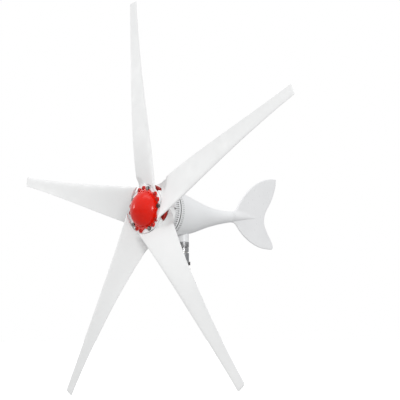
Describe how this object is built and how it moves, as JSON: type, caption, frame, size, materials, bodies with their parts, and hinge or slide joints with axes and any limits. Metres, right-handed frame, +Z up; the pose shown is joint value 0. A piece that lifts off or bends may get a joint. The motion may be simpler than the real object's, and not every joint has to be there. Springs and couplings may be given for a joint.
{
  "type": "small wind turbine",
  "caption": "Horizontal-axis micro wind turbine: twisted blades on a red-nosed hub, tapering white generator body with fish-shaped tail fin, swivelling on a pole socket.",
  "frame": {"origin": "middle of the pole socket's lower face, on the swivel axis", "axes": "+Z up along the swivel axis, nose along -Y, tail fin along +Y, rotor axis parallel to Y 0.2 m above the origin"},
  "size_m": [1.1453, 0.571, 1.113],
  "materials": {
    "blade_white": "fine satin moulding",
    "nose_red": "high gloss",
    "plate_white": "satin",
    "hub_red": "satin",
    "body_white": "satin powder coat",
    "fin_white": "satin moulding",
    "dark_bolts": "black oxide",
    "zinc_steel": "bright zinc",
    "turned_steel": "turned",
    "spring_steel": "phosphated",
    "bearing_steel": "ground",
    "magnet_nickel": "nickel plate",
    "black_rubber": "matt",
    "laminated_steel": "varnished laminations",
    "copper_winding": "enamelled wire",
    "bare_casting": "cast and turned",
    "black_moulding": "moulded",
    "carbon": "pressed carbon",
    "galvanised_steel": "galvanised",
    "slip_brass": "turned"
  },
  "bodies": {
    "mast": {"pole_sleeve": "galvanised_steel", "sleeve_screws": "dark_bolts", "sleeve_clamp": "galvanised_steel", "clamp_bolt": "zinc_steel", "clamp_nut": "zinc_steel", "yaw_shaft": "turned_steel", "yaw_nut": "zinc_steel", "flange_washer": "zinc_steel", "yaw_circlip": "spring_steel", "lead_grommet": "black_rubber", "yaw_spacer": "turned_steel", "lower_yaw_bearing_inner_race": "bearing_steel", "lower_yaw_bearing_balls": "bearing_steel", "upper_yaw_bearing_inner_race": "bearing_steel", "upper_yaw_bearing_balls": "bearing_steel", "slip_ring_core": "black_moulding", "slip_rings": "slip_brass"},
    "nacelle": {"generator_cover": "body_white", "cover_screws": "zinc_steel", "cover_gasket": "black_rubber", "shaft_seal": "black_rubber", "stator_core": "laminated_steel", "stator_coils": "copper_winding", "bearing_plate": "bare_casting", "plate_screws": "zinc_steel", "nacelle_shell": "body_white", "tail_fin": "fin_white", "front_bearing_outer_race": "bearing_steel", "rear_bearing_outer_race": "bearing_steel", "lower_yaw_bearing_outer_race": "bearing_steel", "upper_yaw_bearing_outer_race": "bearing_steel", "yaw_bearing_cap": "bare_casting", "yaw_seal": "black_rubber", "brush_holder": "black_moulding", "brushes": "carbon", "terminal_block": "black_moulding", "terminal_screws": "zinc_steel"},
    "rotor": {"blade_1": "blade_white", "blade_2": "blade_white", "blade_3": "blade_white", "blade_4": "blade_white", "blade_5": "blade_white", "nose_cone": "nose_red", "clamp_plate": "plate_white", "hub": "hub_red", "blade_bolts": "dark_bolts", "nose_cone_bolts": "hub_red", "hub_nuts": "zinc_steel", "rotor_shaft": "turned_steel", "shaft_key": "turned_steel", "shaft_washer": "zinc_steel", "shaft_nut": "zinc_steel", "shaft_circlip": "spring_steel", "magnet_wheel": "turned_steel", "magnets": "magnet_nickel", "front_bearing_inner_race": "bearing_steel", "front_bearing_balls": "bearing_steel", "rear_bearing_inner_race": "bearing_steel", "rear_bearing_balls": "bearing_steel"}
  },
  "joints": [
    {"name": "yaw", "type": "hinge", "parent": "mast", "child": "nacelle", "pos_m": [0, 0, 0.2], "axis": [0, 0, 1], "continuous": true},
    {"name": "spin", "type": "hinge", "parent": "nacelle", "child": "rotor", "pos_m": [0, -0.158, 0.2], "axis": [0, 1, 0], "continuous": true}
  ]
}
